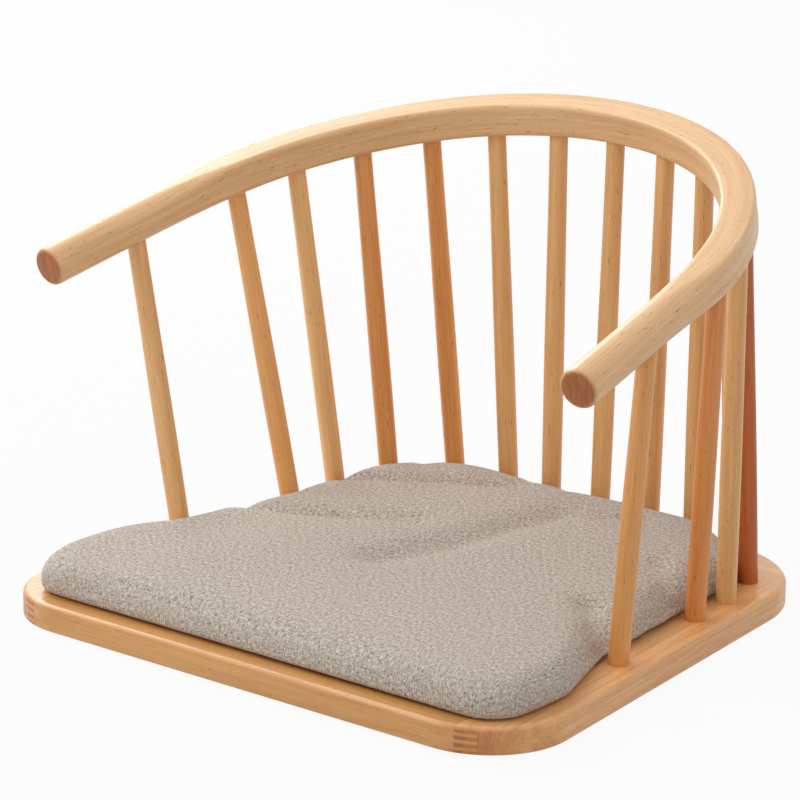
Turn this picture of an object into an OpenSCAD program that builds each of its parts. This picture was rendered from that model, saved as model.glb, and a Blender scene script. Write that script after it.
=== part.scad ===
// Legless chair: a flat rail frame that lies on the floor, a bent arm hoop
// on fifteen turned spindles, and a loose seat cushion.
// Millimetres. +X is the viewer's right, the front faces -Y, +Z is up.
// The origin is on the floor, under the middle of the whole chair.

/* [Base frame] */
// Width of the base across its front edge, corners squared
front_width = 580; // [540:1:620]
// Width of the base across its back edge, corners squared
back_width = 450; // [430:1:480]
// Depth of the base from front edge to back edge
base_depth = 522; // [500:1:560]
// Thickness of the rails
rail_t = 23.5; // [22:0.5:30]
// Width of the rails
rail_w = 48; // [47:1:52]
// Outline radius of the two front corners
front_corner_r = 73; // [60:1:80]
// Outline radius of the two back corners
back_corner_r = 108; // [100:1:116]
// Radius on the rails' upper outer edge
top_edge_r = 5; // [2:0.5:7]
// Radius on the rails' lower outer edge
bottom_edge_r = 2.5; // [1:0.5:4]

/* [Comb joints] */
// Distance from the middle of the front rail to its shoulders
front_shoulder = 228; // [222:1:234]
// Angle of the back shoulders, round the centre of each back corner
back_shoulder_angle = 33; // [32:1:36]
// Length of the joint fingers
finger_len = 18; // [12:1:20]
// Thickness of one finger, and of the slot beside it
finger_t = 3; // [2:0.25:3.25]
// Glue line between fingers, slots and shoulders
glue_gap = 0.1; // [0.05:0.05:0.2]

/* [Seat board] */
// Thickness of the seat board
board_t = 9; // [6:1:12]
// Width of the ledge in the rails that carries the board
ledge_w = 11; // [10:0.5:11.5]
// Gap between the board's edge and the rails
board_gap = 0.5; // [0.3:0.1:1.5]
// Distance of the front screws from the middle
front_screw_x = 120; // [80:1:180]
// Distance of the back screws from the middle
back_screw_x = 80; // [50:1:100]
// Distance of the first side screw from the end of the front corner
side_screw_start = 50; // [40:1:80]
// Distance between the two screws of one side
side_screw_pitch = 190; // [120:5:220]
// Diameter of a screw's shank
screw_d = 3.5; // [3:0.5:4.5]
// Diameter of a screw's countersunk head
screw_head_d = 7; // [6:0.5:8.5]
// Length of a screw
screw_len = 20; // [19:0.5:21.5]
// Depth of a screw's head below the rails' underside
screw_recess = 1; // [0.5:0.25:1.5]
// Gap between a screw and its hole
screw_gap = 0.1; // [0.05:0.05:0.2]

/* [Floor pads] */
// Thickness of the felt pads
pad_t = 2; // [1.5:0.5:5]
// Diameter of the felt pads
pad_d = 24; // [16:1:28]

/* [Hoop] */
// Height of the hoop's centre line above the rails' underside, at the back
hoop_height = 388.5; // [360:0.5:420]
// Distance of that centre line in front of the base's back edge
hoop_setback = 14; // [8:0.5:18]
// Rise of the hoop towards the back, in degrees
hoop_tilt = 13; // [10:0.5:16]
// Bend radius across the back
back_bend_r = 247; // [240:1:256]
// Angle of the back bend, from the middle to one end
back_bend_angle = 41.3; // [38:0.1:44]
// Bend radius of the two sides
side_bend_r = 305; // [290:1:320]
// Angle of each side bend
side_bend_angle = 43.1; // [41:0.1:45]
// Straight length of each arm
arm_run = 178; // [150:1:200]
// Diameter of the round arms
arm_d = 34; // [32:0.5:36]
// Size of the squared section across the back
back_size = 30; // [29:0.5:32]
// Corner radius of the squared section
back_section_r = 5; // [3:0.5:8]
// Radius on the rim of the arms' ends
arm_end_r = 4; // [1:0.5:6]
// Part of each arm in which the section changes from squared to round
blend_run = 64; // [40:8:80]

/* [Spindles] */
// Distance between spindle tops along the hoop's centre line, across the back
back_top_pitch = 59.1; // [58:0.1:61]
// The same distance along the sides
side_top_pitch = 62.8; // [61:0.1:64]
// Distance of the foremost spindle's top from the middle of the hoop
front_top_place = 482.4; // [470:0.1:500]
// How far outside the hoop's centre line the side spindles enter it
top_outset = 4; // [0:0.5:5]
// Distance from the middle over which that offset grows
outset_run = 300; // [200:10:400]
// Distances of the feet from the middle of the back, along the bored line,
// from the middle spindle to the last but one
foot_places = [0, 55, 103, 157, 219, 278, 333];
// Distance of the foremost foot from the base's front edge
front_foot_setback = 203; // [190:1:225]
// Distance of the bored line from the outline
foot_inset = 25; // [24:0.5:26]
// Corner radius of the bored line
foot_corner_r = 110; // [106:1:114]
// Diameter at the foot
foot_d = 17.7; // [16:0.1:18]
// Largest diameter
belly_d = 18.2; // [17.7:0.1:18.6]
// Diameter at the top
top_d = 16.5; // [15:0.1:17]
// Height of the largest diameter, as a part of the whole
belly_place = 0.36; // [0.25:0.01:0.5]
// Depth of the feet in the rails
foot_sink = 15.5; // [12:0.5:17]
// Gap round a spindle in its bore
bore_gap = 0.05; // [0.02:0.01:0.15]
// Space left at the bottom of each bore
bore_spare = 1; // [0.5:0.5:2]

/* [Cushion] */
// Distance from the base's front edge to the cushion's lower front edge
cushion_front_gap = 18; // [14:1:24]
// Half of the width across the front lobes
lobe_half_w = 259; // [252:1:262]
// Distance from the base's front edge to the lobes' rear corners
lobe_end = 113; // [104:1:118]
// Distance from the base's front edge to the point where the waist begins
waist_start = 199; // [190:1:206]
// Distance of the cushion's waist from the base's outline
waist_gap = 37; // [36:0.5:44]
// Distance from the base's back edge to the cushion
cushion_back_gap = 42; // [40:1:60]
// Outline radius of the front corners
cushion_front_r = 38; // [25:1:50]
// Outline radius of the lobes' rear corners
lobe_r = 34; // [20:1:40]
// Outline radius where the lobes run into the waist
waist_r = 70; // [40:1:90]
// Outline radius of the back corners
cushion_back_r = 92; // [80:1:100]
// Height of the cushion near its edge
cushion_edge_h = 31; // [24:0.5:40]
// Extra height in the middle
cushion_crown = 7; // [3:0.5:14]
// Extra height at the back edge
cushion_back_rise = 6; // [0:0.5:8]
// How far the sides bulge over the lower edge
cushion_bulge = 2; // [1:0.5:2.5]
// How far the lower edge is drawn in
cushion_tuck = 3; // [1:0.5:6]
// Depth of the soft dents in the top
dent_depth = 2.5; // [0:0.5:4]
// Radius of the soft dents
dent_r = 55; // [40:5:90]
// Distance of the cushion's highest point in front of its middle
crown_shift = 15; // [0:1:30]
// Thickness of the cover cloth with its lining
cover_t = 1.5; // [1:0.25:2.5]
// Gap between soft pieces and what they touch
soft_gap = 0.3; // [0.2:0.1:0.5]

/* [Hidden] */
$fn = 64;
// Small amount by which a cutting solid reaches past a face
over = 1;
side_spindles = len(foot_places);
// Tops on each side of the middle one that follow the back's pitch
back_tops = 3;

// The hoop's half height across the back, where its section is tilted
hoop_back_reach = (back_size / 2 - back_section_r) * (cos(hoop_tilt) + sin(hoop_tilt)) + back_section_r;
overhang = max(0, hoop_back_reach - hoop_setback);
// Places are held to a micrometre, so that bends and straights meet exactly
function micron(v) = round(v * 1000) / 1000;
front_y = -micron((base_depth + overhang) / 2);
back_y = front_y + base_depth;
base_z = pad_t;
seat_z = base_z + rail_t;

// The base outline: taper, corner centres and the ends of the side edges
taper = (front_width - back_width) / 2 / base_depth;
side_angle = atan(taper);
side_normal = [cos(side_angle), sin(side_angle)];
side_dir = [-sin(side_angle), cos(side_angle)];
function edge_x(y) = front_width / 2 - taper * (y - front_y);
function corner_x(cy, r) = micron(edge_x(cy) - r / cos(side_angle));
front_centre = [corner_x(front_y + front_corner_r, front_corner_r), front_y + front_corner_r];
back_centre = [corner_x(back_y - back_corner_r, back_corner_r), back_y - back_corner_r];
side_length = micron((back_centre - front_centre) * side_dir);

// The hoop's centre line in its own plane, u to the side and v to the back
hoop_y = back_y - hoop_setback;
hoop_z = base_z + hoop_height;
bend_end = back_bend_angle + side_bend_angle;
back_arc = back_bend_r * back_bend_angle * PI / 180;
side_arc = side_bend_r * side_bend_angle * PI / 180;
function heading(a) = [sin(a), cos(a)];
back_bend_centre = [0, -back_bend_r];
side_bend_centre = back_bend_centre + (back_bend_r - side_bend_r) * heading(back_bend_angle);
arm_start = side_bend_centre + side_bend_r * heading(bend_end);
arm_dir = [cos(bend_end), -sin(bend_end)];
function on_back_bend(s, out) =
    back_bend_centre + (back_bend_r + out) * heading(s / back_bend_r * 180 / PI);
function on_side_bend(s, out) =
    side_bend_centre + (side_bend_r + out) * heading(back_bend_angle + s / side_bend_r * 180 / PI);
function on_hoop(s, out) =
    s < back_arc ? on_back_bend(s, out)
    : s < back_arc + side_arc ? on_side_bend(s - back_arc, out)
    : arm_start + (s - back_arc - side_arc) * arm_dir + out * heading(bend_end);
function hoop_to_chair(p) =
    [p.x, hoop_y + p.y * cos(hoop_tilt), hoop_z + p.y * sin(hoop_tilt)];

// Spindle number i counts from the middle of the back, 0 to side_spindles
foot_centre = [corner_x(back_y - foot_inset - foot_corner_r, foot_inset + foot_corner_r),
    back_y - foot_inset - foot_corner_r];
foot_arc_end = foot_centre.x + foot_corner_r * (90 - side_angle) * PI / 180;
foot_straight = foot_centre + foot_corner_r * side_normal;
function foot_xy(s) =
    s < foot_centre.x ? [s, back_y - foot_inset]
    : s < foot_arc_end ? foot_centre
        + foot_corner_r * heading((s - foot_centre.x) / foot_corner_r * 180 / PI)
    : foot_straight - (s - foot_arc_end) * side_dir;
front_foot_place = foot_arc_end + (foot_straight.y - front_y - front_foot_setback) / cos(side_angle);
function foot_place(i) = i < side_spindles ? foot_places[i] : front_foot_place;
function foot(i) = [foot_xy(foot_place(i)).x, foot_xy(foot_place(i)).y, seat_z];
function top_place(i) =
    i == side_spindles ? front_top_place
    : back_top_pitch * min(i, back_tops) + side_top_pitch * max(0, i - back_tops);
function top(i) = hoop_to_chair(on_hoop(top_place(i), top_outset * min(1, top_place(i) / outset_run)));
function spindle_length(i) = norm(top(i) - foot(i));

// Builds in the base outline's own terms, for the right half

// Section of a rail with the ledge for the board: x runs inwards from the
// outline, y upwards
module rail_section() {
    translate([top_edge_r, 0])
        square([rail_w - ledge_w - top_edge_r, rail_t]);
    translate([top_edge_r, 0])
        square([rail_w - top_edge_r, rail_t - board_t]);
    translate([0, bottom_edge_r])
        square([top_edge_r + over, rail_t - top_edge_r - bottom_edge_r]);
    translate([bottom_edge_r, 0])
        square([top_edge_r, rail_t / 2]);
    translate([top_edge_r, rail_t - top_edge_r])
        circle(top_edge_r);
    translate([bottom_edge_r, bottom_edge_r])
        circle(bottom_edge_r);
}

// Rail bent round the origin, anticlockwise from the X axis
module rail_bend(r, angle) {
    translate([0, 0, base_z])
        rotate_extrude(angle = angle)
            translate([r, 0])
                mirror([1, 0])
                    rail_section();
}

// Right side of the base: front corner, straight side and back corner
module rail_round_side() {
    translate([front_centre.x, front_centre.y, 0])
        rotate([0, 0, side_angle]) {
            mirror([0, 1, 0])
                rail_bend(front_corner_r, 90 + side_angle);
            translate([front_corner_r, side_length, base_z])
                rotate([90, 0, 0])
                    linear_extrude(side_length)
                        mirror([1, 0])
                            rail_section();
            translate([front_corner_r - back_corner_r, side_length, 0])
                rail_bend(back_corner_r, 90 - side_angle);
        }
}

// Front or back edge with its two corners, facing -Y before it is turned
module rail_across(centre, r) {
    translate([-centre.x, -r, base_z])
        rotate([90, 0, 90])
            linear_extrude(2 * centre.x)
                rail_section();
    for (side = [0, 1])
        mirror([side, 0, 0])
            translate([centre.x, 0, 0])
                rotate([0, 0, -90])
                    rail_bend(r, 90);
}

// Points of an arc from angle a to angle b
function arc_points(centre, r, a, b) =
    let (steps = 16)
    [for (k = [0:steps]) centre + r * [cos(a + (b - a) * k / steps), sin(a + (b - a) * k / steps)]];

// Area inside the base outline, drawn in by a distance
module outline_area(inset) {
    right = concat(
        arc_points(front_centre, front_corner_r - inset, -90, side_angle),
        arc_points(back_centre, back_corner_r - inset, side_angle, 90));
    left = [for (k = [len(right) - 1:-1:0]) [-right[k].x, right[k].y]];
    polygon(concat(right, left));
}

// Three finger slabs, from a shoulder plane at x = 0 out along +X, and from
// past the rail's outer edge, on the -Y side, in to its inner edge
module comb_fingers(gap) {
    reach = 2 * rail_w;
    for (i = [0:2])
        translate([-over, -reach, base_z + finger_t * (1 + 2 * i) - gap])
            cube([over + finger_len + gap, reach + rail_w / 2 + gap, finger_t + 2 * gap]);
}

// A block that ends at a shoulder plane at x = 0, with fingers past it
module comb_end(length, reach, gap) {
    translate([-length, -reach, base_z - over])
        cube([length + gap, 2 * reach, rail_t + 2 * over]);
    comb_fingers(gap);
}

// The front rail's right end, and all of the rail to the left of it
module front_joint(gap) {
    translate([front_shoulder, front_y + rail_w / 2, 0])
        comb_end(2 * front_width, front_corner_r, gap);
}

// The side rail's end in the back corner, and all of the rail before it
module back_joint(gap) {
    translate([back_centre.x, back_centre.y, 0])
        rotate([0, 0, 90 + back_shoulder_angle])
            translate([0, rail_w / 2 - back_corner_r, 0])
                comb_end(2 * base_depth, base_depth, gap);
}

// Turns the Z axis onto the line of spindle i, with its foot at the origin
module on_spindle(i, side) {
    line = top(i) - foot(i);
    mirror([side < 0 ? 1 : 0, 0, 0])
        translate(foot(i))
            rotate([0, acos(line.z / norm(line)), atan2(line.y, line.x)])
                children();
}

// Bores for the spindles from number a to number b, on one side, wider than
// the feet by the gap all round. They are turned so that their seam doesn't
// lie in the direction of the lean.
module foot_bores(a, b, side, gap) {
    for (i = [a:b])
        on_spindle(i, side)
            rotate([0, 0, 90])
                translate([0, 0, -foot_sink - bore_spare])
                    cylinder(d = foot_d + 2 * gap, h = foot_sink + bore_spare + belly_d);
}

// Screw places: x, y
screw_inset = rail_w - ledge_w / 2;
side_screw_line = front_centre + (front_corner_r - screw_inset) * side_normal;
screw_places = [
    [front_screw_x, front_y + screw_inset],
    side_screw_line + side_screw_start * side_dir,
    side_screw_line + (side_screw_start + side_screw_pitch) * side_dir,
    [back_screw_x, back_y - screw_inset]
];

// One countersunk screw, or the hole for it where gap is above zero
module screw(gap) {
    head_h = (screw_head_d - screw_d) / 2;
    translate([0, 0, base_z + screw_recess]) {
        cylinder(d1 = screw_head_d + 2 * gap, d2 = screw_d + 2 * gap, h = head_h);
        cylinder(d = screw_d + 2 * gap, h = screw_len + gap);
        if (gap > 0)
            translate([0, 0, -screw_recess - over])
                cylinder(d = screw_head_d + 2 * gap, h = screw_recess + over);
    }
}

module all_screws(gap) {
    for (side = [0, 1], p = screw_places)
        mirror([side, 0, 0])
            translate([p.x, p.y, 0])
                screw(gap);
}

module front_rail() color("#d9ae73") {
    difference() {
        intersection() {
            translate([0, front_centre.y, 0])
                rail_across(front_centre, front_corner_r);
            front_joint(0);
            mirror([1, 0, 0])
                front_joint(0);
        }
        all_screws(screw_gap);
    }
}

module side_rail(side) {
    mirror([side < 0 ? 1 : 0, 0, 0])
        difference() {
            intersection() {
                rail_round_side();
                back_joint(0);
            }
            front_joint(glue_gap);
            all_screws(screw_gap);
            foot_bores(1, side_spindles, 1, bore_gap);
        }
}

module left_side_rail() color("#c98d5e") side_rail(-1);

module right_side_rail() color("#c98d5e") side_rail(1);

module back_rail() color("#d3a36c") {
    difference() {
        translate([0, back_centre.y, 0])
            mirror([0, 1, 0])
                rail_across(back_centre, back_corner_r);
        for (side = [0, 1])
            mirror([side, 0, 0])
                back_joint(glue_gap);
        all_screws(screw_gap);
        foot_bores(0, side_spindles, 1, bore_gap);
        foot_bores(1, side_spindles, -1, bore_gap);
    }
}

// The board is notched at its back corners, where spindle feet reach into it
module seat_board() color("#cfae84") {
    difference() {
        translate([0, 0, seat_z - board_t])
            linear_extrude(board_t)
                outline_area(rail_w - ledge_w + board_gap);
        all_screws(screw_gap);
        foot_bores(0, side_spindles, 1, board_gap);
        foot_bores(1, side_spindles, -1, board_gap);
    }
}

module seat_screws() color("silver") all_screws(0);

// Pads sit under the middle of the rails, in the corners and along the sides
module floor_pads() color("#8a8178") {
    line = rail_w / 2;
    diagonal = 45;
    places = [
        front_centre + (front_corner_r - line) * heading(180 - diagonal),
        front_centre + (front_corner_r - line) * side_normal + side_length / 2 * side_dir,
        back_centre + (back_corner_r - line) * heading(diagonal)
    ];
    for (side = [0, 1], p = places)
        mirror([side, 0, 0])
            translate([p.x, p.y, 0])
                cylinder(d = pad_d, h = pad_t);
}

// Hoop section: t runs from 0 at the squared back to 1 on the round arms
module hoop_section(t) {
    half = (back_size + (arm_d - back_size) * t) / 2;
    r = back_section_r + (arm_d / 2 - back_section_r) * t;
    if (t == 1) {
        circle(half);
    } else {
        square([2 * half, 2 * (half - r)], center = true);
        square([2 * (half - r), 2 * half], center = true);
        for (x = [-1, 1], y = [-1, 1])
            translate([x * (half - r), y * (half - r)])
                circle(r);
    }
}

// Hoop bent round the origin, anticlockwise from the Y axis
module hoop_bend(r, angle) {
    rotate([0, 0, 90])
        rotate_extrude(angle = angle)
            translate([r, 0])
                hoop_section(0);
}

// Straight stretch of an arm along +X
module arm_stretch(a, b, t) {
    translate([a, 0, 0])
        rotate([90, 0, 90])
            linear_extrude(b - a)
                hoop_section(t);
}

// The arm's last stretch, with its rounded rim
module arm_end() {
    inner = arm_d / 2 - arm_end_r;
    translate([arm_run - arm_end_r, 0, 0])
        rotate([90, 0, 90])
            rotate_extrude() {
                square([inner, arm_end_r]);
                intersection() {
                    translate([inner, 0])
                        circle(arm_end_r);
                    square([arm_d, arm_end_r]);
                }
            }
}

module arm() {
    steps = 8;
    for (i = [0:steps - 1])
        arm_stretch(blend_run * i / steps, blend_run * (i + 1) / steps, (i + 0.5) / steps);
    arm_stretch(blend_run, arm_run - arm_end_r, 1);
    arm_end();
}

// Right arm with its bends. Each bend starts at the plane where it meets its
// neighbour: the back bend runs on past the middle, and the side bend is made
// from both of its ends, which lap.
module hoop_run() {
    lap = 2;
    translate([0, -back_bend_r, 0])
        rotate([0, 0, -back_bend_angle]) {
            hoop_bend(back_bend_r, back_bend_angle + lap);
            translate([0, back_bend_r - side_bend_r, 0]) {
                mirror([1, 0, 0])
                    hoop_bend(side_bend_r, side_bend_angle / 2 + lap);
                rotate([0, 0, -side_bend_angle]) {
                    hoop_bend(side_bend_r, side_bend_angle / 2 + lap);
                    translate([0, side_bend_r, 0])
                        arm();
                }
            }
        }
}

// Half of the hoop, cut off at the middle of the back
module hoop_half() {
    reach = front_width;
    intersection() {
        hoop_run();
        translate([0, -reach, -arm_d])
            cube([reach, reach + arm_d, 2 * arm_d]);
    }
}

module top_bores(side) {
    for (i = [side < 0 ? 1 : 0 : side_spindles])
        on_spindle(i, side)
            translate([0, 0, spindle_length(i) - arm_d])
                cylinder(d = top_d + 2 * bore_gap, h = arm_d + bore_spare);
}

module arm_hoop() color("#dcb583") {
    difference() {
        translate([0, hoop_y, hoop_z])
            rotate([hoop_tilt, 0, 0])
                for (side = [0, 1])
                    mirror([side, 0, 0])
                        hoop_half();
        top_bores(1);
        top_bores(-1);
    }
}

// Radius of a spindle at a height, as a part of its free length
function spindle_r(u) =
    u < belly_place
    ? foot_d / 2 + (belly_d - foot_d) / 2 * pow(sin(90 * u / belly_place), 2)
    : top_d / 2 + (belly_d - top_d) / 2 * pow(cos(90 * (u - belly_place) / (1 - belly_place)), 2);

module spindle(i, side) {
    length = spindle_length(i);
    free = length - arm_d;
    steps = 8;
    on_spindle(i, side)
        rotate_extrude($fn = 48)
            polygon(concat(
                [[0, length], [0, -foot_sink], [foot_d / 2, -foot_sink]],
                [for (k = [0:steps]) [spindle_r(k / steps), free * k / steps]],
                [[top_d / 2, length]]));
}

module centre_spindle() color("#c8935c") spindle(0, 1);

module left_spindle(i) color(i == 3 || i == 4 || i == 6 ? "#bd7744" : "#c8935c") spindle(i, -1);

module right_spindle(i) color(i == 4 || i == 6 ? "#bd7744" : "#c8935c") spindle(i, 1);

// The cushion's outline: corner x, corner y, corner radius, points on the arc
function waist_x(y) = edge_x(y) - waist_gap / cos(side_angle);
cushion_front_y = front_y + cushion_front_gap;
cushion_back_y = back_y - cushion_back_gap;
cushion_corners = [
    [lobe_half_w, cushion_front_y, cushion_front_r, 5],
    [lobe_half_w, front_y + lobe_end, lobe_r, 2],
    [waist_x(front_y + waist_start), front_y + waist_start, waist_r, 2],
    [waist_x(cushion_back_y), cushion_back_y, cushion_back_r, 5]
];
function unit(v) = v / norm(v);
function xy(p) = [p.x, p.y];
// Rounds corner p between points a and b
function round_corner(a, p, b) =
    let (
        to_a = unit(a - xy(p)),
        to_b = unit(b - xy(p)),
        half = acos(to_a * to_b) / 2,
        centre = xy(p) + unit(to_a + to_b) * p[2] / sin(half),
        from = xy(p) + to_a * p[2] / tan(half) - centre,
        to = xy(p) + to_b * p[2] / tan(half) - centre,
        steps = p[3]
    )
    [for (k = [0:steps]) centre + p[2] * unit(from * (steps - k) + to * k)];
cushion_path = concat([[0, cushion_front_y]], [for (p = cushion_corners) xy(p)], [[0, cushion_back_y]]);
cushion_bends = [for (k = [0:3]) round_corner(cushion_path[k], cushion_corners[k], cushion_path[k + 2])];
// Points between two others, both left out
function between(a, b, n) = [for (k = [1:n]) a + (b - a) * k / (n + 1)];
front_points = 3;
waist_points = 2;
back_points = 2;
cushion_half = concat(
    between([0, cushion_front_y], cushion_bends[0][0], front_points),
    cushion_bends[0], cushion_bends[1], cushion_bends[2],
    between(cushion_bends[2][2], cushion_bends[3][0], waist_points),
    cushion_bends[3],
    between(cushion_bends[3][5], [0, cushion_back_y], back_points));
half_count = len(cushion_half);
// Anticlockwise ring, starting at the middle of the front
cushion_ring = concat(
    [[0, cushion_front_y]], cushion_half,
    [[0, cushion_back_y]], [for (k = [half_count - 1:-1:0]) [-cushion_half[k].x, cushion_half[k].y]]);
ring_count = len(cushion_ring);
cushion_centre = [0, (cushion_front_y + cushion_back_y) / 2 - crown_shift];
// Height of the soft dents at a point of the top
dent_places = [[-90, 60], [40, -60], [150, 60]];
function dents(p) = -dent_depth * max([for (d = dent_places) exp(-pow(norm(p - d) / dent_r, 2))]);
// Side profile: distance drawn in, part of the edge height
side_profile = [
    [cushion_tuck, 0],
    [0, 0.1],
    [-cushion_bulge, 0.32],
    [-cushion_bulge * 0.6, 0.55],
    [3, 0.77],
    [10, 0.92],
    [22, 1]
];
// Top profile: part of the way from the centre to the last side ring
top_profile = [0.72, 0.4];
function drawn_in(p, inset) = cushion_centre + (p - cushion_centre) * (1 - inset / norm(p - cushion_centre));
// Height of the edge, which rises from the middle towards the back
function edge_height(p) =
    cushion_edge_h
    + cushion_back_rise * max(0, (p.y - cushion_centre.y) / (cushion_back_y - cushion_centre.y));
function top_height(p, part) = edge_height(p) + cushion_crown * (1 - pow(part, 2)) + dents(p);
// Rings of points from the lower edge to the top, in from the outside by skin
function side_ring(k, skin) =
    [for (p = cushion_ring)
        let (q = drawn_in(p, side_profile[k][0] + skin))
        [q.x, q.y, skin + (edge_height(q) - 2 * skin) * side_profile[k][1]]];
function top_ring(part, skin) =
    [for (p = cushion_ring)
        let (edge = drawn_in(p, side_profile[len(side_profile) - 1][0] + skin),
            q = cushion_centre + (edge - cushion_centre) * part)
        [q.x, q.y, top_height(q, part) - skin]];
function cushion_points(skin) = concat(
    [[cushion_centre.x, cushion_centre.y, skin]],
    [for (k = [0:len(side_profile) - 1]) each side_ring(k, skin)],
    [for (part = top_profile) each top_ring(part, skin)],
    [[cushion_centre.x, cushion_centre.y, top_height(cushion_centre, 0) - skin]]);
rings = len(side_profile) + len(top_profile);
function ring_point(r, k) = 1 + r * ring_count + k % ring_count;
last_point = 1 + rings * ring_count;
cushion_faces = concat(
    [for (k = [0:ring_count - 1]) [0, ring_point(0, k), ring_point(0, k + 1)]],
    [for (r = [0:rings - 2], k = [0:ring_count - 1])
        each [[ring_point(r, k), ring_point(r + 1, k + 1), ring_point(r, k + 1)],
            [ring_point(r, k), ring_point(r + 1, k), ring_point(r + 1, k + 1)]]],
    [for (k = [0:ring_count - 1]) [last_point, ring_point(rings - 1, k + 1), ring_point(rings - 1, k)]]);

module cushion_form(skin) {
    translate([0, 0, seat_z + soft_gap])
        polyhedron(cushion_points(skin), cushion_faces, convexity = 4);
}

module cushion_cover() color("#b9ac9c") {
    difference() {
        cushion_form(0);
        cushion_form(cover_t);
    }
}

module cushion_foam() color("#ece6d6") cushion_form(cover_t + soft_gap);

front_rail();
back_rail();
left_side_rail();
right_side_rail();
seat_board();
seat_screws();
floor_pads();
arm_hoop();
centre_spindle();
for (i = [1:side_spindles]) {
    left_spindle(i);
    right_spindle(i);
}
cushion_cover();
cushion_foam();
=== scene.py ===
import math

import bmesh
import bpy
import numpy as np
from mathutils import Matrix, Vector


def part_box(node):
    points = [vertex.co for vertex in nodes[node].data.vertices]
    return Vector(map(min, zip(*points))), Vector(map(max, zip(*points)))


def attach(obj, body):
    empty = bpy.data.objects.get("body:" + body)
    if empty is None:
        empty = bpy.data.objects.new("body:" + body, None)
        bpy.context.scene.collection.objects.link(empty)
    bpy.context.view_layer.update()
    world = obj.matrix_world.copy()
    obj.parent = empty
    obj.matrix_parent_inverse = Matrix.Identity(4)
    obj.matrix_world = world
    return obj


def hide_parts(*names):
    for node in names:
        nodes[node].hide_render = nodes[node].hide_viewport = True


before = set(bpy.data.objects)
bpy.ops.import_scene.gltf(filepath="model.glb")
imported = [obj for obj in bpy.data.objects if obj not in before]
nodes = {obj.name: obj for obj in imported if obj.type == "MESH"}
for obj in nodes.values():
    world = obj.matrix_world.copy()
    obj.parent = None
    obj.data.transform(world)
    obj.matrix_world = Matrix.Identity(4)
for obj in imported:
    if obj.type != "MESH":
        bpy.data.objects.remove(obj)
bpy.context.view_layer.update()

# The legless chair's finish. Metres, in the frame's own axes: +X is the
# viewer's right, the open front faces -Y, +Z is up.
BODY = "root"

# Camera: where it stands, what it looks at, its roll and its lens
CAMERA_PLACE = Vector((2.1615, -2.6960, 1.1987))
CAMERA_TARGET = Vector((-0.0337, -0.0034, 0.1823))
CAMERA_ROLL = math.radians(0.65)
SENSOR_MM = 36.0
LENS_MM = 190.67
PICTURE_PIXELS = 800
OPTICAL_CENTRE = (404.95, 401.75)

# Light: daylight from all sides, and lamps with their place, width, power and
# target. White is the share of white in the floor that the camera sees.
WORLD_LEVEL = 0.74
LAMPS = {
    "key": ((-2.6, 0.3, 2.2), 2.4, 46, (0, 0, 0.15)),
    "rim": ((-2.7, 1.9, 1.6), 1.2, 19, (0, 0, 0.15)),
    "near": ((-1.1, -1.4, 1.8), 0.7, 10.5, (-0.1, -0.25, 0)),
}
FLOOR_REACH = 12.0
FLOOR_TONE = (0.58, 0.57, 0.55, 1)
FLOOR_WHITE = 0.93

# Hoop, as the CAD part has it
BACK_BEND_R = 0.247
BACK_BEND = math.radians(41.3)
SIDE_BEND_R = 0.305
SIDE_BEND = math.radians(43.1)
ARM_RUN = 0.178
HOOP_TILT = math.radians(13)
HOOP_HEIGHT = 0.3885
HOOP_SETBACK = 0.014
BACK_SIZE = 0.030
BACK_SECTION_R = 0.0035
ARM_D = 0.034
ARM_END_R = 0.004
# Stretch of the hoop, from the middle, where its section turns round
BLEND_START = 0.350
BLEND_END = 0.470
# Mesh of the hoop: points round a ring, distance of the rings, rings in an end's rim
HOOP_AROUND = 72
HOOP_STEP = 0.0045
RIM_STEPS = 6

# Cushion: size of its mesh, rounds of smoothing, frames and reach of the
# cloth's blowing up, and the foam's distance from the cover
CUSHION_VOXEL = 0.005
SMOOTH_ROUNDS = 28
CLOTH_FRAMES = 20
CLOTH_REACH = 0.004
FOAM_INSET = 0.0025
# Part of the height in which the cushion's side goes from firm to soft
SOFT_START = 0.08
SOFT_RUN = 0.37
CLOTH = {
    "quality": 6,
    "mass": 0.3,
    "tension_stiffness": 12,
    "compression_stiffness": 12,
    "shear_stiffness": 6,
    "bending_stiffness": 0.6,
    "shrink_min": -0.02,
    "use_pressure": True,
    "uniform_pressure_force": 4,
}
# Folds in the cushion's top: both ends, depth and half width. A depth below
# zero is a rise.
FOLDS = (
    ((-0.202, -0.016), (-0.127, 0.011), 0.0095, 0.012),
    ((-0.114, 0.016), (-0.056, 0.045), 0.0070, 0.012),
    ((-0.020, -0.054), (0.008, 0.016), 0.0105, 0.020),
    ((0.014, 0.049), (0.029, 0.145), 0.0090, 0.018),
    ((-0.189, 0.103), (-0.057, 0.176), 0.0070, 0.010),
    ((0.060, 0.154), (0.090, 0.180), 0.0060, 0.012),
    ((0.187, -0.029), (0.239, -0.074), 0.0095, 0.015),
    ((-0.235, -0.190), (-0.212, -0.030), -0.0045, 0.034),
    ((0.170, 0.085), (0.222, 0.045), 0.0060, 0.012),
)
# How far the cushion's lower edge is drawn in, and up to which share of its height
TUCK = 0.0035
TUCK_HEIGHT = 0.40
# Bulges and hollows of the cushion's side: place, push and radius
BULGES = (
    ((0.203, 0.155), (0.0070, 0.0020), 0.020),
    ((-0.203, 0.155), (-0.0060, 0.0020), 0.020),
    ((-0.262, -0.200), (0.0050, 0.0), 0.070),
    ((0.250, -0.190), (0.0030, -0.0015), 0.050),
)


# Shader building

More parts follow.
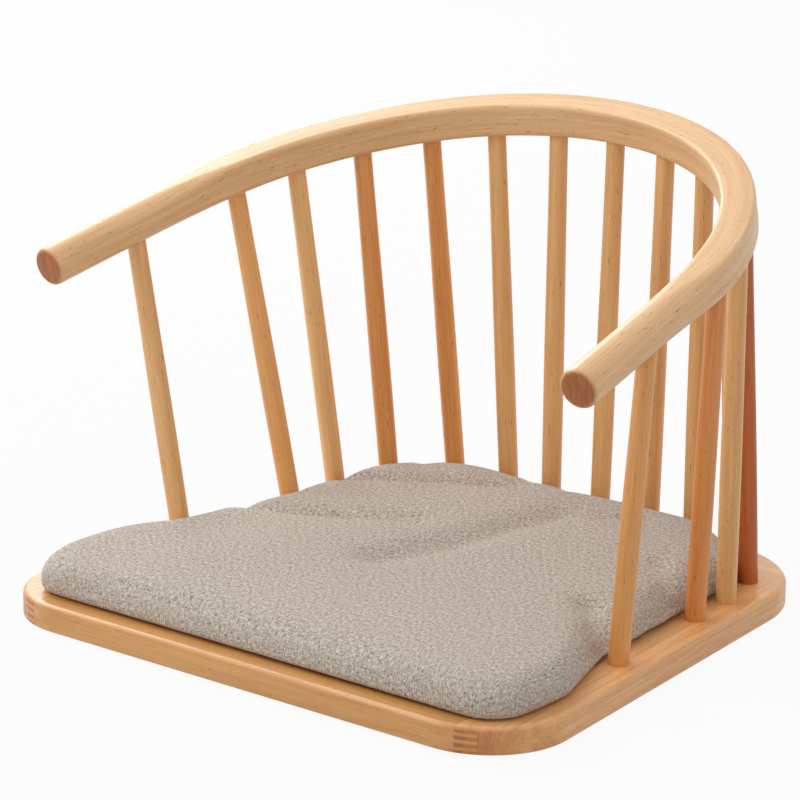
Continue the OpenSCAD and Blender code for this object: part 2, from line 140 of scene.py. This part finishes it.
def add(tree, kind, inputs=None, **settings):
    """Adds a shader node. Inputs are values or the sockets to join."""
    node = tree.nodes.new("ShaderNode" + kind)
    for key, value in settings.items():
        setattr(node, key, value)
    for key, value in (inputs or {}).items():
        if isinstance(value, bpy.types.NodeSocket):
            tree.links.new(value, node.inputs[key])
        else:
            node.inputs[key].default_value = value
    return node


def calc(tree, operation, a, b=0.0):
    """Result of a Math node."""
    return add(tree, "Math", {0: a, 1: b}, operation=operation).outputs[0]


def weighted(tree, *parts):
    """Sum of values, each times its weight."""
    total, *rest = [calc(tree, "MULTIPLY", value, weight) for value, weight in parts]
    for part in rest:
        total = calc(tree, "ADD", total, part)
    return total


def remap(tree, value, low, high, to_low=0.0, to_high=1.0):
    """The value with its range from low to high moved to another range, and cut off there."""
    ends = {"From Min": low, "From Max": high, "To Min": to_low, "To Max": to_high}
    return add(tree, "MapRange", {"Value": value, **ends}).outputs["Result"]


def blend(tree, factor, a, b):
    """Colour a where the factor is 0, and b where it is 1."""
    return add(tree, "Mix", {0: factor, 6: a, 7: b}, data_type="RGBA").outputs[2]


def stretched(tree, vector, scale, offset=(0, 0, 0)):
    """The vector times a scale for each axis, moved by an offset."""
    inputs = {"Vector": vector, "Scale": scale, "Location": offset}
    return add(tree, "Mapping", inputs).outputs["Vector"]


def cloud(tree, vector, detail=2.0, roughness=0.5):
    """Noise from 0 to 1, one lump to each unit of the vector."""
    inputs = {"Vector": vector, "Scale": 1.0, "Detail": detail, "Roughness": roughness}
    return add(tree, "TexNoise", inputs).outputs["Fac"]


def colour(red, green, blue):
    """A colour written as it shows on a screen, 0 to 255, in linear light."""
    def linear(v):
        v /= 255
        return v / 12.92 if v <= 0.04045 else ((v + 0.055) / 1.055) ** 2.4
    return (linear(red), linear(green), linear(blue), 1.0)


def new_material(name):
    """A material without nodes, and its tree."""
    material = bpy.data.materials.new(name)
    material.use_nodes = True
    material.node_tree.nodes.clear()
    return material, material.node_tree


def finish_material(tree, inputs, height, depth):
    """Ends the tree in a Principled shader with a bump of that depth."""
    bump = add(tree, "Bump", {"Height": height, "Strength": 1.0, "Distance": depth})
    shader = add(tree, "BsdfPrincipled", {**inputs, "Normal": bump.outputs["Normal"]})
    add(tree, "OutputMaterial", {"Surface": shader.outputs["BSDF"]})


# Wood. Its pattern is solid: x runs along the grain, y and z across it.
# Lumps to a metre, along the grain and across it, of each part of the pattern.

WANDER = (4, 22, 22)
BANDS = (3, 95, 95)
FIBRES = (16, 520, 520)
SPECKS = (260, 1500, 1500)
STREAKS = (95, 900, 900)
RINGS = (40, 520, 60)
WANDER_REACH = 0.008
WOOD_BUMP = 0.00015


def straight_grain(direction, offset=(0, 0, 0)):
    """Wood coordinates of a piece with straight grain in that direction."""
    turn = Vector(direction).rotation_difference(Vector((1, 0, 0))).to_euler()

    def place(tree):
        position = add(tree, "TexCoord").outputs["Object"]
        mapped = add(tree, "Mapping", {"Vector": position, "Rotation": turn, "Location": offset})
        normal = add(tree, "TexCoord").outputs["Normal"]
        along = Vector(direction).normalized()
        facing = add(tree, "VectorMath", {0: normal, 1: along}, operation="DOT_PRODUCT")
        return mapped.outputs["Vector"], facing.outputs["Value"]
    return place


def bent_grain(tree):
    """Wood coordinates kept in a swept mesh, so that grain follows the bend."""
    position = add(tree, "Attribute", attribute_name="wood_place").outputs["Vector"]
    along = add(tree, "Attribute", attribute_name="wood_axis").outputs["Vector"]
    normal = add(tree, "TexCoord").outputs["Normal"]
    facing = add(tree, "VectorMath", {0: normal, 1: along}, operation="DOT_PRODUCT")
    return position, facing.outputs["Value"]


def darker(tone, share):
    """That share of a colour."""
    return tuple(share * c for c in tone[:3]) + (1.0,)


def wood(name, pale, dark, end, grain, flecks=1.0, coat=0.2):
    """Lacquered beech: broad bands, fine fibres, a few dark flecks, ringed end grain."""
    material, tree = new_material(name)
    place, facing = grain(tree)
    wander = cloud(tree, stretched(tree, place, WANDER), 2.0)
    sideways = calc(tree, "MULTIPLY", wander, WANDER_REACH)
    shift = add(tree, "CombineXYZ", {0: 0.0, 1: sideways, 2: 0.0}).outputs[0]
    place = add(tree, "VectorMath", {0: place, 1: shift}, operation="ADD").outputs[0]
    bands = cloud(tree, stretched(tree, place, BANDS), 3.0, 0.55)
    fibres = cloud(tree, stretched(tree, place, FIBRES), 4.0, 0.6)
    specks = cloud(tree, stretched(tree, place, SPECKS), 1.0)
    streaks = cloud(tree, stretched(tree, place, STREAKS, (0.37, 0, 0)), 1.0)
    rings = cloud(tree, stretched(tree, place, RINGS), 3.0)

    # Side grain
    tone = weighted(tree, (bands, 0.75), (fibres, 0.60))
    body = blend(tree, remap(tree, tone, 0.46, 0.90), pale, dark)
    speck = remap(tree, specks, 0.66, 0.82, 0.0, 0.35 * flecks)
    streak = remap(tree, streaks, 0.69, 0.76, 0.0, 0.62 * flecks)
    mark = calc(tree, "MAXIMUM", speck, streak)
    body = blend(tree, mark, body, darker(dark, 0.42))

    # End grain, where the surface looks along the grain
    end_body = blend(tree, remap(tree, rings, 0.35, 0.65), end, darker(end, 0.6))
    at_end = calc(tree, "POWER", calc(tree, "ABSOLUTE", facing), 3.0)
    body = blend(tree, at_end, body, end_body)

    height = calc(tree, "SUBTRACT", calc(tree, "MULTIPLY", fibres, 0.5), mark)
    inputs = {
        "Base Color": body,
        "Roughness": remap(tree, fibres, 0.3, 0.7, 0.36, 0.48),
        "IOR": 1.46,
        "Specular IOR Level": 0.45,
        "Coat Weight": coat,
        "Coat Roughness": 0.26,
    }
    finish_material(tree, inputs, height, WOOD_BUMP)
    return material


# Cloth and small parts

THREAD_PITCH = 0.0016
# Lumps to a metre along a yarn, across it, and of the mottle over all yarns
YARN_ALONG = 230
YARN_ACROSS = 740
MOTTLE = 900
LINEN_BUMP = 0.0011


def weave_height(tree, across, along):
    """Height of a plain weave, 0 to 1."""
    def threads(value, phase):
        turn = calc(tree, "MULTIPLY", value, math.pi / THREAD_PITCH)
        return calc(tree, "ABSOLUTE", calc(tree, "SINE", calc(tree, "ADD", turn, phase)))
    over = calc(tree, "MULTIPLY", threads(across, 0.0), threads(along, math.pi / 2))
    under = calc(tree, "MULTIPLY", threads(across, math.pi / 2), threads(along, 0.0))
    return calc(tree, "MAXIMUM", over, under)


def yarns(tree, across, along, seed):
    """Tone of the yarns, 0 to 1, and the height of the weave, on one plane of the cloth."""
    flat = add(tree, "CombineXYZ", {0: across, 1: along, 2: seed}).outputs[0]
    warp = cloud(tree, stretched(tree, flat, (YARN_ACROSS, YARN_ALONG, 1)), 2.0, 0.6)
    weft = cloud(tree, stretched(tree, flat, (YARN_ALONG, YARN_ACROSS, 1), (5, 3, 0)), 2.0, 0.6)
    mottle = cloud(tree, stretched(tree, flat, (MOTTLE, MOTTLE, 1), (1, 8, 0)), 2.0, 0.7)
    tone = weighted(tree, (warp, 0.45), (weft, 0.35), (mottle, 0.30))
    height = weighted(tree, (weave_height(tree, across, along), 0.35), (tone, 0.9))
    return tone, height


def linen():
    """Heathered grey-beige cloth. Each point takes the weave of the plane it faces most."""
    material, tree = new_material("linen_cloth")
    geometry = add(tree, "TexCoord")
    place = geometry.outputs["Object"]
    x, y, z = add(tree, "SeparateXYZ", {0: place}).outputs
    facing = add(tree, "SeparateXYZ", {0: geometry.outputs["Normal"]}).outputs
    to_side, to_front, to_top = [calc(tree, "ABSOLUTE", f) for f in facing]
    upward = remap(tree, to_top, 0.50, 0.68)
    frontal = remap(tree, calc(tree, "SUBTRACT", to_front, to_side), -0.12, 0.12)

    def mix(factor, a, b):
        return add(tree, "Mix", {0: factor, 2: a, 3: b}, data_type="FLOAT").outputs[0]

    on_top = yarns(tree, x, y, 0.0)
    on_front = yarns(tree, x, z, 3.0)
    on_side = yarns(tree, y, z, 6.0)
    planes = zip(on_side, on_front, on_top)
    tone, height = [mix(upward, mix(frontal, side, front), top) for side, front, top in planes]
    patches = cloud(tree, stretched(tree, place, (18, 18, 18)), 2.0)
    body = blend(tree, remap(tree, tone, 0.43, 0.66), colour(128, 109, 93), colour(230, 221, 210))
    body = blend(tree, remap(tree, patches, 0.3, 0.7, 0.0, 0.14), body, colour(186, 168, 150))
    inputs = {
        "Base Color": body,
        "Roughness": remap(tree, tone, 0.3, 0.7, 0.82, 0.96),
        "Sheen Weight": 0.12,
        "Sheen Roughness": 0.5,
        "IOR": 1.4,
    }
    finish_material(tree, inputs, height, LINEN_BUMP)
    return material


def fuzzy(name, pale, dark, lump, depth):
    """Felt or foam: a fine mottled, matt surface with lumps of that size."""
    material, tree = new_material(name)
    place = add(tree, "TexCoord").outputs["Object"]
    fine = cloud(tree, stretched(tree, place, (1 / lump,) * 3), 4.0, 0.7)
    broad = cloud(tree, stretched(tree, place, (0.12 / lump,) * 3), 2.0)
    tone = weighted(tree, (fine, 0.7), (broad, 0.4))
    body = blend(tree, remap(tree, tone, 0.35, 0.75), dark, pale)
    inputs = {"Base Color": body, "Roughness": remap(tree, fine, 0.3, 0.7, 0.85, 1.0), "IOR": 1.4}
    finish_material(tree, inputs, fine, depth)
    return material


PLY_THICKNESS = 0.0015


def plywood(top):
    """Plywood: veneer grain along X on its faces, thin plies on its edges."""
    material, tree = new_material("plywood_board")
    geometry = add(tree, "TexCoord")
    place = geometry.outputs["Object"]
    up = add(tree, "SeparateXYZ", {0: geometry.outputs["Normal"]}).outputs[2]
    depth = calc(tree, "SUBTRACT", top, add(tree, "SeparateXYZ", {0: place}).outputs[2])
    ply = calc(tree, "MODULO", calc(tree, "DIVIDE", depth, PLY_THICKNESS), 2.0)
    bands = cloud(tree, stretched(tree, place, (2.5, 40, 40)), 4.0, 0.6)
    fibres = cloud(tree, stretched(tree, place, (30, 700, 700)), 3.0, 0.6)
    face = blend(tree, remap(tree, bands, 0.3, 0.7), colour(222, 182, 132), colour(190, 142, 92))
    face = blend(tree, remap(tree, fibres, 0.45, 0.8, 0.0, 0.5), face, colour(160, 122, 84))
    edge = blend(tree, remap(tree, ply, 0.95, 1.05), colour(212, 180, 138), colour(150, 110, 74))
    edge = blend(tree, remap(tree, fibres, 0.4, 0.7, 0.0, 0.35), edge, colour(120, 86, 58))
    body = blend(tree, remap(tree, calc(tree, "ABSOLUTE", up), 0.4, 0.6), edge, face)
    rough = remap(tree, fibres, 0.3, 0.7, 0.55, 0.75)
    inputs = {"Base Color": body, "Roughness": rough, "IOR": 1.45}
    finish_material(tree, inputs, fibres, 0.0002)
    return material


def zinc():
    """Zinc-plated steel with a fine crystalline mottle and turning marks."""
    material, tree = new_material("zinc_plate")
    place = add(tree, "TexCoord").outputs["Object"]
    mottle = cloud(tree, stretched(tree, place, (900, 900, 900)), 3.0, 0.6)
    turned = cloud(tree, stretched(tree, place, (60, 60, 5200)), 1.0)
    body = blend(tree, remap(tree, mottle, 0.3, 0.7), colour(205, 205, 200), colour(172, 174, 176))
    height = weighted(tree, (mottle, 0.3), (turned, 0.7))
    rough = remap(tree, mottle, 0.3, 0.7, 0.28, 0.42)
    inputs = {"Base Color": body, "Metallic": 1.0, "Roughness": rough}
    finish_material(tree, inputs, height, 0.00005)
    return material


# Geometry

def new_piece(name, mesh, material, replaced):
    """An object of the chair that stands for CAD nodes."""
    piece = bpy.data.objects.new(name, mesh)
    bpy.context.scene.collection.objects.link(piece)
    mesh.materials.clear()
    mesh.materials.append(material)
    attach(piece, BODY)
    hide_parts(*replaced)
    return piece


def smooth_step(t):
    t = min(1.0, max(0.0, t))
    return t * t * (3 - 2 * t)


def section_radius(angle, half, corner):
    """Distance from the centre of a rounded square to its edge, in a direction."""
    c, s = abs(math.cos(angle)), abs(math.sin(angle))
    flat = half - corner
    if half * s <= flat * c:
        return half / c
    if half * c <= flat * s:
        return half / s
    reach = flat * (c + s)
    return reach + math.sqrt(reach * reach - 2 * flat * flat + corner * corner)


BACK_ARC = BACK_BEND_R * BACK_BEND
SIDE_ARC = SIDE_BEND_R * SIDE_BEND
HALF_HOOP = BACK_ARC + SIDE_ARC + ARM_RUN


def heading(angle):
    """Direction in the hoop's plane, at an angle from straight back."""
    return Vector((math.sin(angle), math.cos(angle)))


BACK_CENTRE = Vector((0, -BACK_BEND_R))
SIDE_CENTRE = BACK_CENTRE + (BACK_BEND_R - SIDE_BEND_R) * heading(BACK_BEND)


def hoop_frame(s):
    """Point and outward direction of the hoop's line in its own plane, s from the middle."""
    away = abs(s)
    if away < BACK_ARC:
        out = heading(away / BACK_BEND_R)
        point = BACK_CENTRE + BACK_BEND_R * out
    else:
        out = heading(BACK_BEND + min(SIDE_BEND, (away - BACK_ARC) / SIDE_BEND_R))
        point = SIDE_CENTRE + SIDE_BEND_R * out
        point += max(0.0, away - BACK_ARC - SIDE_ARC) * Vector((out.y, -out.x))
    if s < 0:
        point.x, out.x = -point.x, -out.x
    return point, out


def hoop_rings():
    """Each ring's place along the hoop and share of the section's size. The ends are rounded."""
    straight = HALF_HOOP - ARM_END_R
    count = math.ceil(2 * straight / HOOP_STEP)
    body = [((-1 + 2 * k / count) * straight, 1.0) for k in range(count + 1)]
    rim = []
    for k in range(1, RIM_STEPS + 1):
        turn = math.pi / 2 * k / RIM_STEPS
        place = HALF_HOOP - ARM_END_R * (1 - math.sin(turn))
        rim.append((place, 1 - 2 * ARM_END_R / ARM_D * (1 - math.cos(turn))))
    face = [(HALF_HOOP, share * rim[-1][1]) for share in (0.75, 0.5, 0.25)]
    return [(-s, share) for s, share in reversed(rim + face)] + body + rim + face


def arm_hoop(material):
    """The bent hoop: squared across the back, and round along the arms."""
    back_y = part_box("back_rail")[1].y
    base_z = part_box("back_rail")[0].z
    centre_y, centre_z = back_y - HOOP_SETBACK, base_z + HOOP_HEIGHT
    up = Vector((0, -math.sin(HOOP_TILT), math.cos(HOOP_TILT)))

    def tilted(v):
        return Vector((v.x, v.y * math.cos(HOOP_TILT), v.y * math.sin(HOOP_TILT)))

    mesh = bmesh.new()
    place_layer = mesh.verts.layers.float_vector.new("wood_place")
    axis_layer = mesh.verts.layers.float_vector.new("wood_axis")

    def vertex(s, share, angle):
        point, out = hoop_frame(s)
        turned = smooth_step((abs(s) - BLEND_START) / (BLEND_END - BLEND_START))
        half = (BACK_SIZE + (ARM_D - BACK_SIZE) * turned) / 2
        corner = BACK_SECTION_R + (ARM_D / 2 - BACK_SECTION_R) * turned
        radius = share * section_radius(angle, half, corner)
        sideways, upwards = radius * math.cos(angle), radius * math.sin(angle)
        middle = Vector((0, centre_y, centre_z)) + tilted(point)
        vert = mesh.verts.new(middle + sideways * tilted(out) + upwards * up)
        vert[place_layer] = (s, sideways, upwards)
        vert[axis_layer] = up.cross(tilted(out))
        return vert

    # Points lie closer together near the section's corners
    turns = [2 * math.pi * k / HOOP_AROUND for k in range(HOOP_AROUND)]
    angles = [turn + math.sin(4 * turn) / 8 for turn in turns]
    grid = [[vertex(s, share, a) for a in angles] for s, share in hoop_rings()]
    for ring, following in zip(grid, grid[1:]):
        for k in range(HOOP_AROUND):
            n = (k + 1) % HOOP_AROUND
            mesh.faces.new((ring[k], ring[n], following[n], following[k]))
    for ring, s in ((grid[0], -HALF_HOOP), (grid[-1], HALF_HOOP)):
        tip = vertex(s, 0.0, 0.0)
        for k in range(HOOP_AROUND):
            mesh.faces.new((ring[k], ring[(k + 1) % HOOP_AROUND], tip))
    bmesh.ops.recalc_face_normals(mesh, faces=mesh.faces)
    made = bpy.data.meshes.new("arm_hoop_beech")
    mesh.to_mesh(made)
    mesh.free()
    made.shade_smooth()
    return new_piece("arm_hoop_bent", made, material, ["arm_hoop"])


def only_active(piece):
    bpy.ops.object.select_all(action="DESELECT")
    piece.select_set(True)
    bpy.context.view_layer.objects.active = piece


def apply_all(piece):
    """Applies the piece's modifiers, from the first to the last."""
    only_active(piece)
    for modifier in list(piece.modifiers):
        bpy.ops.object.modifier_apply(modifier=modifier.name)


def vectors(items, attribute):
    """That vector of each item, one to a row."""
    flat = np.zeros(len(items) * 3, np.float32)
    items.foreach_get(attribute, flat)
    return flat.reshape(-1, 3).astype(float)


def points_of(piece):
    return vectors(piece.data.vertices, "co")


def normals_of(piece):
    return vectors(piece.data.vertex_normals, "vector")


def set_points(piece, points):
    piece.data.vertices.foreach_set("co", points.astype(np.float32).ravel())
    piece.data.update()


def height_share(points):
    """Each point's height, 0 at the lowest one and 1 at the highest one."""
    return (points[:, 2] - points[:, 2].min()) / np.ptp(points[:, 2])


def upper_share(points):
    """0 in the lower part of the cushion's side, 1 from half of its height up."""
    t = np.clip((height_share(points) - SOFT_START) / SOFT_RUN, 0, 1)
    return (t * t * (3 - 2 * t))[:, None]


def inflate(piece):
    """Blows up the upper part of a closed cloth. No point goes further than the reach."""
    rest = points_of(piece)
    settings = piece.modifiers.new("cloth", "CLOTH").settings
    for key, value in CLOTH.items():
        setattr(settings, key, value)
    settings.effector_weights.gravity = 0
    scene = bpy.context.scene
    for number in range(1, CLOTH_FRAMES + 1):
        scene.frame_set(number)
    apply_all(piece)
    scene.frame_set(1)
    moved = points_of(piece) - rest
    length = np.linalg.norm(moved, axis=1, keepdims=True)
    kept = CLOTH_REACH * np.tanh(length / CLOTH_REACH) / np.maximum(length, 1e-9)
    set_points(piece, rest + moved * upper_share(rest) * kept)


def outer_skin(mesh_data):
    """Keeps the outside of a hollow solid, the part of its surface that reaches furthest out."""
    mesh = bmesh.new()
    mesh.from_mesh(mesh_data)
    bmesh.ops.remove_doubles(mesh, verts=mesh.verts, dist=0.00001)
    found = {max(mesh.verts, key=lambda v: v.co.x)}
    edge = list(found)
    while edge:
        vert = edge.pop()
        for link in vert.link_edges:
            other = link.other_vert(vert)
            if other not in found:
                found.add(other)
                edge.append(other)
    bmesh.ops.delete(mesh, geom=[v for v in mesh.verts if v not in found], context="VERTS")
    mesh.to_mesh(mesh_data)
    mesh.free()


def soften(piece):
    """Turns the cushion's plain facets into an even mesh, with a rounder upper edge."""
    piece.modifiers.new("round", "SUBSURF").levels = 2
    remesh = piece.modifiers.new("remesh", "REMESH")
    remesh.mode = "VOXEL"
    remesh.voxel_size = CUSHION_VOXEL
    apply_all(piece)
    before = points_of(piece)
    smooth = piece.modifiers.new("smooth", "SMOOTH")
    smooth.factor = 0.5
    smooth.iterations = SMOOTH_ROUNDS
    apply_all(piece)
    set_points(piece, before + upper_share(before) * (points_of(piece) - before))


def fill_box(points, low, high):
    """Stretches points so that their box meets the given one."""
    now_low, now_high = points.min(0), points.max(0)
    return low + (points - now_low) / (now_high - now_low) * (high - low)


def press_folds(points):
    """Fills out the cushion's sides, and presses soft folds into its upper half."""
    for place, push, radius in BULGES:
        gap = np.linalg.norm(points[:, :2] - np.array(place), axis=1)
        points[:, :2] += np.exp(-(gap / radius) ** 2)[:, None] * np.array(push)
    upper = upper_share(points)[:, 0]
    for start, end, depth, width in FOLDS:
        a, b = np.array(start), np.array(end)
        along = np.clip((points[:, :2] - a) @ (b - a) / ((b - a) @ (b - a)), 0, 1)
        gap = np.linalg.norm(points[:, :2] - a - along[:, None] * (b - a), axis=1)
        points[:, 2] -= depth * upper * np.exp(-(gap / width) ** 2)
    return points


def tuck_under(points, normals):
    """Draws in the lower edge of the cushion's side."""
    share = np.clip(1 - height_share(points) / TUCK_HEIGHT, 0, 1) ** 1.5
    points[:, :2] -= TUCK * share[:, None] * normals[:, :2]
    return points


def foam_core(cover):
    """The foam inside the cover, a little smaller all round."""
    material = fuzzy("seat_foam", colour(240, 233, 214), colour(214, 204, 180), 0.0012, 0.0005)
    piece = new_piece("cushion_foam_core", cover.data.copy(), material, ["cushion_foam"])
    set_points(piece, points_of(piece) - FOAM_INSET * normals_of(piece))
    piece.data.shade_smooth()


def cushion(material):
    """The loose seat cushion's cover, blown up as cloth from its CAD form."""
    source = nodes["cushion_cover"].data.copy()
    outer_skin(source)
    piece = new_piece("cushion_linen", source, material, ["cushion_cover"])
    soften(piece)
    inflate(piece)
    low, high = (np.array(corner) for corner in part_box("cushion_cover"))
    set_points(piece, press_folds(fill_box(points_of(piece), low, high)))
    set_points(piece, tuck_under(points_of(piece), normals_of(piece)))
    foam_core(piece)
    piece.modifiers.new("fine", "SUBSURF").levels = 1
    apply_all(piece)
    piece.data.shade_smooth()


# Finish of each piece

BEECH_END = colour(188, 106, 46)
SIDE_LEAN = math.radians(7.1)
# Paler and darker tone of the wood of each kind of spindle
SPINDLE_TONES = {
    "light": (colour(248, 204, 142), colour(230, 176, 112)),
    "plain": (colour(240, 190, 128), colour(216, 158, 96)),
    "warm": (colour(242, 184, 116), colour(222, 154, 88)),
    "amber": (colour(236, 174, 104), colour(214, 142, 76)),
    "red": (colour(240, 172, 102), colour(212, 138, 70)),
    "rust": (colour(230, 154, 84), colour(204, 122, 58)),
    "deep": (colour(196, 104, 40), colour(166, 76, 26)),
}
# Spindles that aren't plain, and the kind of wood of each
SPINDLE_KINDS = {
    "left_spindle_3": "red",
    "left_spindle_4": "red",
    "left_spindle_5": "light",
    "left_spindle_6": "warm",
    "right_spindle_4": "deep",
    "right_spindle_6": "rust",
    "right_spindle_7": "amber",
}
# Direction of the grain of each rail, and where in the wood it lies
RAIL_GRAIN = {
    "front_rail": ((1, 0, 0), (0.3, 0.1, 0.2)),
    "back_rail": ((1, 0, 0), (1.7, 0.4, 0.9)),
    "left_side_rail": ((math.sin(SIDE_LEAN), math.cos(SIDE_LEAN), 0), (2.3, 1.15, 0)),
    "right_side_rail": ((-math.sin(SIDE_LEAN), math.cos(SIDE_LEAN), 0), (3.1, 1.55, 0)),
}


def spindle_axis(name):
    """Direction of a turned spindle, from foot to top, worked out from its mesh."""
    points = points_of(nodes[name])
    axis = np.linalg.svd(points - points.mean(0), full_matrices=False)[2][0]
    return Vector(axis * math.copysign(1, axis[2]))


def set_finish(name, material):
    node = nodes[name]
    node.data.materials.clear()
    node.data.materials.append(material)


def finish_spindles():
    """Each spindle has its own piece of wood, along its own axis."""
    names = sorted(n for n in nodes if "spindle" in n)
    for number, name in enumerate(names):
        kind = SPINDLE_KINDS.get(name, "plain")
        pale, dark = SPINDLE_TONES[kind]
        offset = (0.37 * number, 0.11 * number, 0.05 * number)
        grain = straight_grain(spindle_axis(name), offset)
        set_finish(name, wood(name + "_wood", pale, dark, BEECH_END, grain, 1.3))


def finish_base():
    """Rails in two tones of beech, and the board, screws and pads below them."""
    for name, (direction, offset) in RAIL_GRAIN.items():
        if "side" in name:
            tones = colour(243, 186, 124), colour(208, 142, 84), colour(200, 116, 56)
            slot, coat = "side_beech", 0.25
        else:
            tones = colour(226, 168, 98), colour(192, 130, 66), BEECH_END
            slot, coat = "front_beech", 0.6
        grain = straight_grain(direction, offset)
        set_finish(name, wood(name + "_wood", *tones, grain, coat=coat))
    set_finish("seat_board", plywood(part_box("seat_board")[1].z))
    set_finish("seat_screws", zinc())
    felt = fuzzy("felt_pad", colour(132, 122, 112), colour(88, 80, 72), 0.0009, 0.0004)
    set_finish("floor_pads", felt)


# Floor, light and camera

def is_seen(tree):
    """1 for the rays that should meet the white background, else 0."""
    path = add(tree, "LightPath")
    seen = calc(tree, "MAXIMUM", path.outputs["Is Camera Ray"], path.outputs["Is Glossy Ray"])
    return calc(tree, "MAXIMUM", seen, path.outputs["Is Transmission Ray"])


def make_floor():
    """Almost white where it is seen, with the chair's faint shadow, and grey to other light."""
    material, tree = new_material("pale_floor")
    ground = add(tree, "BsdfDiffuse", {"Color": FLOOR_TONE})
    white = add(tree, "Emission", {"Color": (1, 1, 1, 1), "Strength": 1.0})
    share = calc(tree, "MULTIPLY", is_seen(tree), FLOOR_WHITE)
    mixed = add(tree, "MixShader", {0: share, 1: ground.outputs[0], 2: white.outputs[0]})
    add(tree, "OutputMaterial", {"Surface": mixed.outputs[0]})
    mesh = bpy.data.meshes.new("floor")
    signs = ((-1, -1), (1, -1), (1, 1), (-1, 1))
    corners = [(FLOOR_REACH * x, FLOOR_REACH * y, 0) for x, y in signs]
    mesh.from_pydata(corners, [], [(0, 1, 2, 3)])
    mesh.materials.append(material)
    floor = bpy.data.objects.new("floor", mesh)
    bpy.context.scene.collection.objects.link(floor)


def make_world():
    """White where it is seen, and even daylight for the chair."""
    world = bpy.data.worlds.new("studio")
    world.use_nodes = True
    tree = world.node_tree
    tree.nodes.clear()
    strength = remap(tree, is_seen(tree), 0.0, 1.0, WORLD_LEVEL, 1.0)
    background = add(tree, "Background", {"Color": (1, 1, 1, 1), "Strength": strength})
    add(tree, "OutputWorld", {"Surface": background.outputs[0]})
    bpy.context.scene.world = world


def look_at(place, target, roll=0.0):
    """Matrix of a camera or lamp at a place that looks at a target."""
    ahead = (target - place).normalized()
    right = ahead.cross(Vector((0, 0, 1))).normalized()
    up = right.cross(ahead)
    across = right * math.cos(roll) + up * math.sin(roll)
    upright = up * math.cos(roll) - right * math.sin(roll)
    turn = Matrix((across, upright, -ahead)).transposed().to_4x4()
    return Matrix.Translation(place) @ turn


def make_lamps():
    for name, (place, width, power, target) in LAMPS.items():
        lamp = bpy.data.lights.new(name, "AREA")
        lamp.shape = "DISK"
        lamp.size = width
        lamp.energy = power
        holder = bpy.data.objects.new(name, lamp)
        bpy.context.scene.collection.objects.link(holder)
        holder.matrix_world = look_at(Vector(place), Vector(target))


def make_camera():
    """The photo's camera, whose optical centre lies a little off the picture's middle."""
    data = bpy.data.cameras.new("view")
    data.sensor_width = SENSOR_MM
    data.lens = LENS_MM
    data.shift_x = 0.5 - OPTICAL_CENTRE[0] / PICTURE_PIXELS
    data.shift_y = OPTICAL_CENTRE[1] / PICTURE_PIXELS - 0.5
    data.clip_end = 50
    camera = bpy.data.objects.new("view", data)
    bpy.context.scene.collection.objects.link(camera)
    camera.matrix_world = look_at(CAMERA_PLACE, CAMERA_TARGET, CAMERA_ROLL)
    bpy.context.scene.camera = camera


make_camera()
make_floor()
make_world()
make_lamps()
bpy.context.scene.view_settings.view_transform = "Standard"

hoop_tones = colour(240, 197, 146), colour(213, 160, 107), BEECH_END
arm_hoop(wood("hoop_wood", *hoop_tones, bent_grain, 1.3))
finish_spindles()
finish_base()
cushion(linen())
